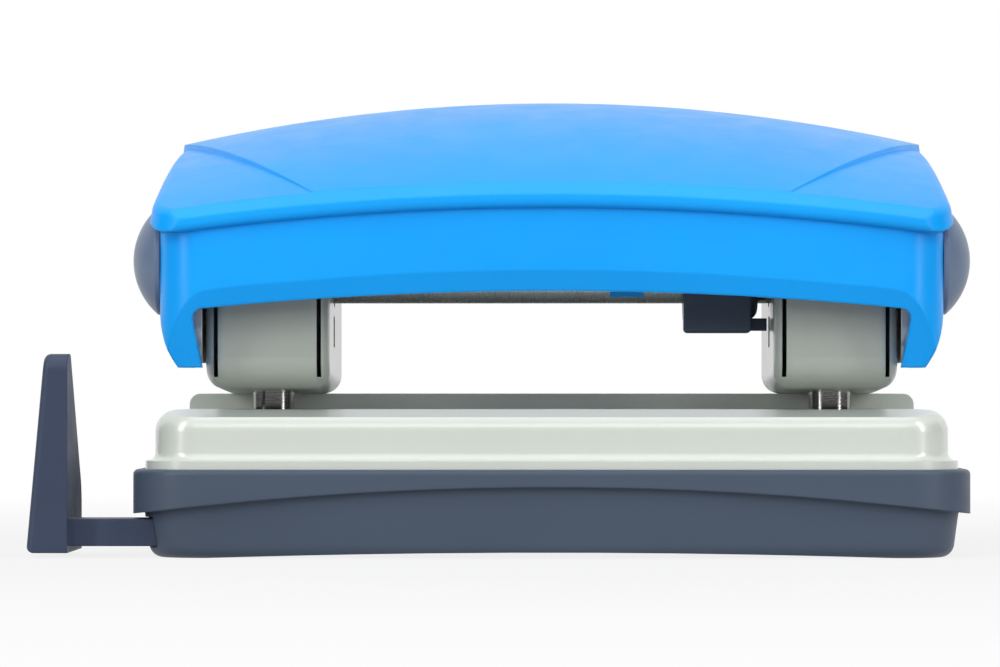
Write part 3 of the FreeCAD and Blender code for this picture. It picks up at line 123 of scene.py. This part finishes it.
class PunchStage(bpy.types.PropertyGroup):
    """Camera and lights."""

    distance: length("Distance", "Camera to the front of the base", 0.77)
    eye: length("Eye height", "Camera above the table", 0.024)
    lens: FloatProperty(name="Lens", description="Focal length in millimetres",
                        min=20.0, max=400.0, default=200.0)
    pan: FloatProperty(name="Pan", description="Camera turned to the left",
                       subtype="ANGLE", default=math.radians(0.531))
    tilt: FloatProperty(name="Tilt", description="Camera turned upwards",
                        subtype="ANGLE", default=math.radians(0.536))
    key: FloatProperty(name="Side lights", description="Power of each side softbox in watts",
                       subtype="POWER", min=0.0, default=4.4)
    top: FloatProperty(name="Top light", description="Power of the top softbox in watts",
                       subtype="POWER", min=0.0, default=3.3)
    front: FloatProperty(name="Front light", description="Power of the front softbox in watts",
                         subtype="POWER", min=0.0, default=3.2)
    low: FloatProperty(name="Low light", description="Power of the low front softbox in watts",
                       subtype="POWER", min=0.0, default=2.2)
    fill: FloatProperty(name="Fill", description="Strength of the room's even light",
                        min=0.0, default=0.12)


# ---------------------------------------------------------------------------------------------
# Shader helpers
# ---------------------------------------------------------------------------------------------
def node(tree, kind, options=None, **inputs):
    """Adds a shader node; options are its settings, inputs are values by socket name."""
    added = tree.nodes.new(kind)
    for option, value in (options or {}).items():
        setattr(added, option, value)
    for socket, value in inputs.items():
        added.inputs[socket.replace("_", " ")].default_value = value
    return added


def link(tree, source, target):
    tree.links.new(source, target)


def new_material(name):
    """A cleared material with its Principled shader linked to the output."""
    material = bpy.data.materials.new(name)
    material.use_nodes = True
    tree = material.node_tree
    tree.nodes.clear()
    shader = node(tree, "ShaderNodeBsdfPrincipled")
    output = node(tree, "ShaderNodeOutputMaterial")
    link(tree, shader.outputs[0], output.inputs["Surface"])
    return material, tree, shader


def object_space(tree, stretch=UNSTRETCHED):
    """Object coordinates, stretched for grain that runs one way."""
    place = node(tree, "ShaderNodeTexCoord")
    mapping = node(tree, "ShaderNodeMapping")
    mapping.inputs["Scale"].default_value = stretch
    link(tree, place.outputs["Object"], mapping.inputs["Vector"])
    return mapping.outputs["Vector"]


def noise(tree, place, scale, detail=3.0, roughness=0.55):
    texture = node(tree, "ShaderNodeTexNoise", Scale=scale, Detail=detail, Roughness=roughness)
    link(tree, place, texture.inputs["Vector"])
    return texture.outputs["Fac"]


def spread(tree, value, low, high, start=NOISE_RANGE[0], end=NOISE_RANGE[1]):
    """Maps a value that runs from start to end onto low to high."""
    remap = node(tree, "ShaderNodeMapRange")
    link(tree, value, remap.inputs["Value"])
    for socket, number in (("From Min", start), ("From Max", end),
                           ("To Min", low), ("To Max", high)):
        remap.inputs[socket].default_value = number
    return remap.outputs["Result"]


def mix_colours(tree, factor, first, second):
    """Goes from first, a colour or a colour output, to the colour second with the factor."""
    mix = node(tree, "ShaderNodeMix", {"data_type": "RGBA"})
    link(tree, factor, mix.inputs[0])
    if isinstance(first, tuple):
        mix.inputs[MIX_FIRST].default_value = (*first, 1.0)
    else:
        link(tree, first, mix.inputs[MIX_FIRST])
    mix.inputs[MIX_SECOND].default_value = (*second, 1.0)
    return mix.outputs[MIX_COLOUR]


def shade(base, factor):
    """The colour, made lighter or darker."""
    return tuple(min(1.0, channel * factor) for channel in base)


def soft_edges(tree, radius):
    """Normal with rounded edges, and a mask that is 1 on an edge."""
    bevel = node(tree, "ShaderNodeBevel", {"samples": 4}, Radius=radius)
    surface = node(tree, "ShaderNodeNewGeometry")
    facing = node(tree, "ShaderNodeVectorMath", {"operation": "DOT_PRODUCT"})
    link(tree, bevel.outputs["Normal"], facing.inputs[0])
    link(tree, surface.outputs["Normal"], facing.inputs[1])
    mask = spread(tree, facing.outputs["Value"], 1.0, 0.0, start=0.80, end=0.995)
    return bevel.outputs["Normal"], mask


def bump(tree, height, normal, strength, depth):
    relief = node(tree, "ShaderNodeBump", Strength=strength, Distance=depth)
    link(tree, height, relief.inputs["Height"])
    link(tree, normal, relief.inputs["Normal"])
    return relief.outputs["Normal"]


# ---------------------------------------------------------------------------------------------
# Materials
# ---------------------------------------------------------------------------------------------
def moulded_plastic(name, base, gloss, grain_scale, grain_depth, radius):
    """Injection-moulded plastic: spark-eroded grain, faint flow marks, and a painted highlight
    on the edges.
    """
    material, tree, shader = new_material(name)
    place = object_space(tree)
    rounded, edge = soft_edges(tree, radius)
    flow = noise(tree, object_space(tree, (1.0, 1.0, 2.5)), scale=26.0, detail=2.0)
    body = mix_colours(tree, spread(tree, flow, 0.0, 1.0), shade(base, 0.955),
                       shade(base, 1.045))
    # Edges lightened 1.25 times: a painted highlight along the rounded edges.
    edge_highlight = spread(tree, edge, 0.0, 0.35, start=0.0, end=1.0)
    body = mix_colours(tree, edge_highlight, body, shade(base, 1.25))
    link(tree, body, shader.inputs["Base Color"])
    rub = noise(tree, place, scale=190.0, detail=4.0, roughness=0.6)
    link(tree, spread(tree, rub, gloss - 0.045, gloss + 0.05), shader.inputs["Roughness"])
    shader.inputs["Specular IOR Level"].default_value = 0.26
    grain = noise(tree, place, grain_scale, detail=2.0, roughness=0.5)
    link(tree, bump(tree, grain, rounded, strength=0.5, depth=grain_depth),
         shader.inputs["Normal"])
    return material


def enamel(name, base, gloss, radius):
    """Sprayed enamel on sheet steel: orange peel, fine specks, and a painted highlight on the
    edges.
    """
    material, tree, shader = new_material(name)
    place = object_space(tree)
    rounded, edge = soft_edges(tree, radius)
    cloud = noise(tree, place, scale=34.0)
    body = mix_colours(tree, spread(tree, cloud, 0.0, 1.0), shade(base, 0.985),
                       shade(base, 1.015))
    specks = spread(tree, noise(tree, place, scale=900.0, detail=2.0), 0.0, 0.05)
    body = mix_colours(tree, specks, body, shade(base, 0.8))
    # Edges lightened 1.22 times: a painted highlight along the sheet edges.
    enamel_edge_highlight = spread(tree, edge, 0.0, 0.4, start=0.0, end=1.0)
    body = mix_colours(tree, enamel_edge_highlight, body, shade(base, 1.22))
    link(tree, body, shader.inputs["Base Color"])
    haze = noise(tree, place, scale=60.0, detail=2.0)
    link(tree, spread(tree, haze, gloss - 0.02, gloss + 0.02, start=0.0, end=1.0),
         shader.inputs["Roughness"])
    peel = noise(tree, place, scale=620.0, detail=2.0, roughness=0.5)
    link(tree, bump(tree, peel, rounded, strength=0.22, depth=0.00003),
         shader.inputs["Normal"])
    shader.inputs["Coat Weight"].default_value = 0.8
    shader.inputs["Coat Roughness"].default_value = 0.22
    return material


def turned_steel(name, base, gloss, stretch, radius):
    """Steel with fine tool marks that run across the stretched axis."""
    material, tree, shader = new_material(name)
    rounded, edge = soft_edges(tree, radius)
    marks = noise(tree, object_space(tree, stretch), scale=900.0, roughness=0.6)
    stain = noise(tree, object_space(tree), scale=140.0)
    body = mix_colours(tree, spread(tree, stain, 0.0, 1.0), shade(base, 0.86),
                       shade(base, 1.06))
    # Lighter towards the edges, 1.3 times the base colour.
    edge_lightening = spread(tree, edge, 0.0, 0.5, start=0.0, end=1.0)
    body = mix_colours(tree, edge_lightening, body, shade(base, 1.3))
    link(tree, body, shader.inputs["Base Color"])
    link(tree, spread(tree, marks, gloss - 0.06, gloss + 0.08), shader.inputs["Roughness"])
    link(tree, bump(tree, marks, rounded, strength=0.25, depth=0.00002),
         shader.inputs["Normal"])
    shader.inputs["Metallic"].default_value = 1.0
    return material


# ---------------------------------------------------------------------------------------------
# Piece helpers
# ---------------------------------------------------------------------------------------------
def dress(names, material):
    """Gives CAD nodes their finish."""
    for name in names:
        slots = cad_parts[name].material_slots
        for index in range(len(slots)):
            slots[index].material = material


def new_piece(name, bm, material):
    """A finished mesh object at the origin, with its place in its mesh."""
    bmesh.ops.recalc_face_normals(bm, faces=bm.faces)
    for face in bm.faces:
        face.smooth = True
    mesh = bpy.data.meshes.new(name)
    bm.to_mesh(mesh)
    bm.free()
    mesh.materials.append(material)
    piece = bpy.data.objects.new(name, mesh)
    bpy.context.scene.collection.objects.link(piece)
    return piece


def middle(name):
    """Middle of a CAD node's box."""
    low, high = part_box(name)
    return (low + high) / 2


def settings():
    """The scene's finishes, sizes and stage."""
    scene = bpy.context.scene
    return scene.punch_finishes, scene.punch_sizes, scene.punch_stage


# ---------------------------------------------------------------------------------------------
# Pieces
# ---------------------------------------------------------------------------------------------
class PUNCH_OT_base(bpy.types.Operator):
    """Enamelled base and housings with their rivets and the die strip"""

    bl_idname = "punch.base"
    bl_label = "Base and housings"

    def execute(self, context):
        finish, size, _ = settings()
        paint = enamel("grey_enamel", tuple(finish.paint), gloss=0.30, radius=size.bend)
        dress(["base_plate"], paint)
        # The housings get a darker copy of the base's enamel: painted shade from the handle
        # above them.
        shaded_housing_enamel = enamel("housing_enamel", tuple(finish.housing), gloss=0.34,
                       radius=size.bend)
        dress([side + "_punch_housing" for side in sides], shaded_housing_enamel)
        steel = turned_steel("rivet_steel", tuple(finish.steel), gloss=0.34,
                             stretch=UNSTRETCHED, radius=size.bend)
        dress([side + "_" + row + "_rivet" for side in sides for row in ("inner", "outer")]
              + [side + "_pivot_pin" for side in sides]
              + [side + "_tray_hinge_pin" for side in sides] + ["die_strip"], steel)
        return {"FINISHED"}


class PUNCH_OT_mechanism(bpy.types.Operator):
    """Lever, press bar and punch pins"""

    bl_idname = "punch.mechanism"
    bl_label = "Lever, bar and pins"

    def execute(self, context):
        finish, size, _ = settings()
        zinc = turned_steel("zinc_sheet", tuple(finish.zinc), gloss=0.38,
                            stretch=(1, 0.2, 1), radius=size.bend)
        dress(["lever_frame"], zinc)
        bar = turned_steel("bar_steel", tuple(finish.steel), gloss=0.24,
                           stretch=(12, 1, 1), radius=size.bend)
        dress(["press_bar"], bar)
        pin = turned_steel("pin_steel", tuple(finish.pin), gloss=0.11,
                           stretch=(1, 1, 9), radius=size.bend)
        dress([side + "_punch_pin" for side in sides], pin)
        return {"FINISHED"}


class PUNCH_OT_springs(bpy.types.Operator):
    """Coil springs with closed ends between the housings and the pins' heads"""

    bl_idname = "punch.springs"
    bl_label = "Springs"

    def execute(self, context):
        finish, size, _ = settings()
        wire = turned_steel("spring_steel", tuple(finish.steel), gloss=0.26,
                            stretch=(1, 1, 4), radius=size.bend)
        for side in sides:
            node_name = side + "_pin_spring"
            low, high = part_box(node_name)
            centre = middle(node_name)
            reach = (high.x - low.x - size.wire) / 2
            start = Vector((centre.x + reach, centre.y, low.z + size.wire / 2))
            bm = bmesh.new()
            turned = Matrix.Translation(start) @ Matrix.Rotation(math.pi / 2, 4, "X")
            ring = bmesh.ops.create_circle(bm, segments=size.wire_sides, radius=size.wire / 2,
                                           cap_ends=True, matrix=turned)
            geometry = ring["verts"] + bm.edges[:] + bm.faces[:]
            closed = size.end_turns * size.wire * CLOSED_PITCH
            rise = high.z - low.z - size.wire - closed * 2
            for turns, climb in ((size.end_turns, closed), (size.active_turns, rise),
                                 (size.end_turns, closed)):
                steps = int(turns * SPRING_STEPS)
                moved = bmesh.ops.spin(bm, geom=geometry, cent=centre, axis=(0, 0, 1),
                                       dvec=(0, 0, climb / steps), angle=math.tau * turns,
                                       steps=steps)
                geometry = moved["geom_last"]
            piece = new_piece(side + "_coil_spring", bm, wire)
            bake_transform(piece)
            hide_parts(node_name)
        return {"FINISHED"}


class PUNCH_OT_handle(bpy.types.Operator):
    """Blue moulded handle with its screws"""

    bl_idname = "punch.handle"
    bl_label = "Handle"

    def execute(self, context):
        finish, size, _ = settings()
        blue = moulded_plastic("handle_blue", tuple(finish.handle), gloss=0.33,
                               grain_scale=2600.0, grain_depth=0.000012,
                               radius=size.edge * 1.5)
        dress(["handle_shell"], blue)
        screw = turned_steel("screw_steel", tuple(finish.zinc), gloss=0.4,
                             stretch=UNSTRETCHED, radius=size.bend)
        dress([side + "_shell_screw" for side in sides], screw)
        return {"FINISHED"}


class PUNCH_OT_caps(bpy.types.Operator):
    """Slate caps over the handle's pivots, made lighter with painted light"""

    bl_idname = "punch.caps"
    bl_label = "Pivot caps"

    def execute(self, context):
        finish, size, _ = settings()
        # The tray's slate made 2.3 times lighter: painted light on the caps' domes.
        slate = moulded_plastic("cap_slate", shade(finish.dark, 2.3), gloss=0.32,
                                grain_scale=1900.0, grain_depth=0.00002,
                                radius=size.edge)
        dress([side + "_pivot_cap" for side in sides], slate)
        return {"FINISHED"}


class PUNCH_OT_catch(bpy.types.Operator):
    """Sliding catch on the press bar"""

    bl_idname = "punch.catch"
    bl_label = "Lock catch"

    def execute(self, context):
        finish, size, _ = settings()
        slate = moulded_plastic("catch_slate", tuple(finish.dark), gloss=0.36,
                                grain_scale=2100.0, grain_depth=0.00001,
                                radius=size.edge)
        dress(["lock_catch"], slate)
        return {"FINISHED"}


class PUNCH_OT_tray(bpy.types.Operator):
    """Slate chip tray"""

    bl_idname = "punch.tray"
    bl_label = "Chip tray"

    def execute(self, context):
        finish, size, _ = settings()
        slate = moulded_plastic("tray_slate", tuple(finish.dark), gloss=0.45,
                                grain_scale=1500.0, grain_depth=0.00003,
                                radius=size.edge)
        dress(["chip_tray"], slate)
        return {"FINISHED"}


class PUNCH_OT_guide(bpy.types.Operator):
    """Slate paper guide with its upright fin"""

    bl_idname = "punch.guide"
    bl_label = "Paper guide"

    def execute(self, context):
        finish, size, _ = settings()
        slate = moulded_plastic("guide_slate", tuple(finish.guide), gloss=0.47,
                                grain_scale=1700.0, grain_depth=0.00003,
                                radius=size.edge)
        dress(["paper_guide"], slate)
        return {"FINISHED"}


# ---------------------------------------------------------------------------------------------
# Stage
# ---------------------------------------------------------------------------------------------
def seen_directly(tree):
    """1 for camera, glossy and transmission rays, 0 for the rays that light the object."""
    path = node(tree, "ShaderNodeLightPath")
    total = path.outputs["Is Camera Ray"]
    for ray in ("Is Glossy Ray", "Is Transmission Ray"):
        both = node(tree, "ShaderNodeMath", {"operation": "MAXIMUM"})
        link(tree, total, both.inputs[0])
        link(tree, path.outputs[ray], both.inputs[1])
        total = both.outputs[0]
    return total


def softbox(name, place, width, height, power, in_gloss):
    """Rectangular lamp that faces the punch."""
    lamp = bpy.data.lights.new(name, "AREA")
    lamp.shape = "RECTANGLE"
    lamp.size = width
    lamp.size_y = height
    lamp.energy = power
    holder = bpy.data.objects.new(name, lamp)
    holder.location = place
    facing = Vector(LIGHT_AIM) - Vector(place)
    holder.rotation_euler = facing.to_track_quat("-Z", "Y").to_euler()
    holder.visible_glossy = in_gloss
    bpy.context.scene.collection.objects.link(holder)


def floor_white(name):
    """White floor that keeps the object's shadow and fades into the backdrop further out."""
    material, tree, shader = new_material(name)
    place = object_space(tree)
    grain = noise(tree, place, scale=40.0)
    link(tree, mix_colours(tree, grain, shade(WHITE, 0.50), shade(WHITE, 0.52)),
         shader.inputs["Base Color"])
    shader.inputs["Roughness"].default_value = 0.8
    shader.inputs["Specular IOR Level"].default_value = 0.1
    away = node(tree, "ShaderNodeVectorMath", {"operation": "LENGTH"})
    link(tree, place, away.inputs[0])
    whiteness = spread(tree, away.outputs["Value"], 0.84, 1.0, start=0.10, end=0.42)
    share = node(tree, "ShaderNodeMath", {"operation": "MULTIPLY"})
    link(tree, seen_directly(tree), share.inputs[0])
    link(tree, whiteness, share.inputs[1])
    glow = node(tree, "ShaderNodeEmission", Strength=1.0)
    both = node(tree, "ShaderNodeMixShader")
    link(tree, share.outputs[0], both.inputs[0])
    link(tree, shader.outputs[0], both.inputs[1])
    link(tree, glow.outputs[0], both.inputs[2])
    surface = next(n for n in tree.nodes if n.bl_idname == "ShaderNodeOutputMaterial")
    link(tree, both.outputs[0], surface.inputs["Surface"])
    return material


def dark_flag(name, half_width, half_height, place, turn):
    """Upright dark card round the punch, seen in its gloss alone."""
    material, tree, shader = new_material(name)
    grain = noise(tree, object_space(tree), scale=12.0)
    link(tree, mix_colours(tree, grain, shade(WHITE, 0.02), shade(WHITE, 0.03)),
         shader.inputs["Base Color"])
    shader.inputs["Roughness"].default_value = 0.9
    bm = bmesh.new()
    turned = (Matrix.Translation(place) @ Matrix.Rotation(turn, 4, "Z")
              @ Matrix.Rotation(math.pi / 2, 4, "X"))
    stretch = Matrix.Diagonal((half_width, half_height, 1.0, 1.0))
    bmesh.ops.create_grid(bm, x_segments=1, y_segments=1, size=1.0, matrix=turned @ stretch)
    card = new_piece(name, bm, material)
    card.visible_camera = False
    card.visible_diffuse = False
    card.visible_shadow = False
    card.visible_transmission = False
    return card


class PUNCH_OT_stage(bpy.types.Operator):
    """White floor and room, softboxes and the camera"""

    bl_idname = "punch.stage"
    bl_label = "Stage and camera"

    def execute(self, context):
        scene = context.scene
        _, _, stage = settings()
        scene.view_settings.view_transform = "Standard"

        world = bpy.data.worlds.new("white_room")
        scene.world = world
        world.use_nodes = True
        tree = world.node_tree
        tree.nodes.clear()
        light = node(tree, "ShaderNodeBackground", Strength=stage.fill)
        backdrop = node(tree, "ShaderNodeBackground", Strength=1.0)
        chosen = node(tree, "ShaderNodeMixShader")
        output = node(tree, "ShaderNodeOutputWorld")
        for background in (light, backdrop):
            background.inputs["Color"].default_value = (*WHITE, 1.0)
        link(tree, seen_directly(tree), chosen.inputs[0])
        link(tree, light.outputs[0], chosen.inputs[1])
        link(tree, backdrop.outputs[0], chosen.inputs[2])
        link(tree, chosen.outputs[0], output.inputs["Surface"])

        bm = bmesh.new()
        bmesh.ops.create_grid(bm, x_segments=1, y_segments=1, size=FLOOR_REACH)
        floor = new_piece("floor", bm, floor_white("white_floor"))
        for name, (half_width, half_height, place, turn) in DARK_FLAGS.items():
            flag = dark_flag(name, half_width, half_height, place, turn)
        for name, (place, width, height, power, in_gloss) in SOFTBOXES.items():
            softbox(name, place, width, height, getattr(stage, power), in_gloss)

        data = bpy.data.cameras.new("camera")
        data.sensor_width = SENSOR_WIDTH
        data.lens = stage.lens
        data.clip_start = NEAREST
        camera = bpy.data.objects.new("camera", data)
        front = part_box("base_plate")[0].y
        camera.location = (0.0, front - stage.distance, stage.eye)
        camera.rotation_euler = (math.pi / 2 + stage.tilt, 0.0, stage.pan)
        scene.collection.objects.link(camera)
        scene.camera = camera
        return {"FINISHED"}


class PUNCH_PT_panel(bpy.types.Panel):
    """Operators of the punch"""

    bl_idname = "PUNCH_PT_panel"
    bl_label = "Two-hole punch"
    bl_space_type = "VIEW_3D"
    bl_region_type = "UI"
    bl_category = "Punch"

    def draw(self, context):
        for kind in operators:
            self.layout.operator(kind.bl_idname)


operators = (PUNCH_OT_base, PUNCH_OT_mechanism, PUNCH_OT_springs, PUNCH_OT_handle,
             PUNCH_OT_caps, PUNCH_OT_catch, PUNCH_OT_tray, PUNCH_OT_guide, PUNCH_OT_stage)
groups = (("punch_finishes", PunchFinishes), ("punch_sizes", PunchSizes),
          ("punch_stage", PunchStage))


def register():
    for name, kind in groups:
        bpy.utils.register_class(kind)
        setattr(bpy.types.Scene, name, PointerProperty(type=kind))
    for kind in operators + (PUNCH_PT_panel,):
        bpy.utils.register_class(kind)


def unregister():
    for kind in reversed(operators + (PUNCH_PT_panel,)):
        bpy.utils.unregister_class(kind)
    for name, kind in reversed(groups):
        delattr(bpy.types.Scene, name)
        bpy.utils.unregister_class(kind)


def main():
    register()
    for kind in operators:
        module, name = kind.bl_idname.split(".")
        getattr(getattr(bpy.ops, module), name)()


if __name__ == "__main__":
    main()
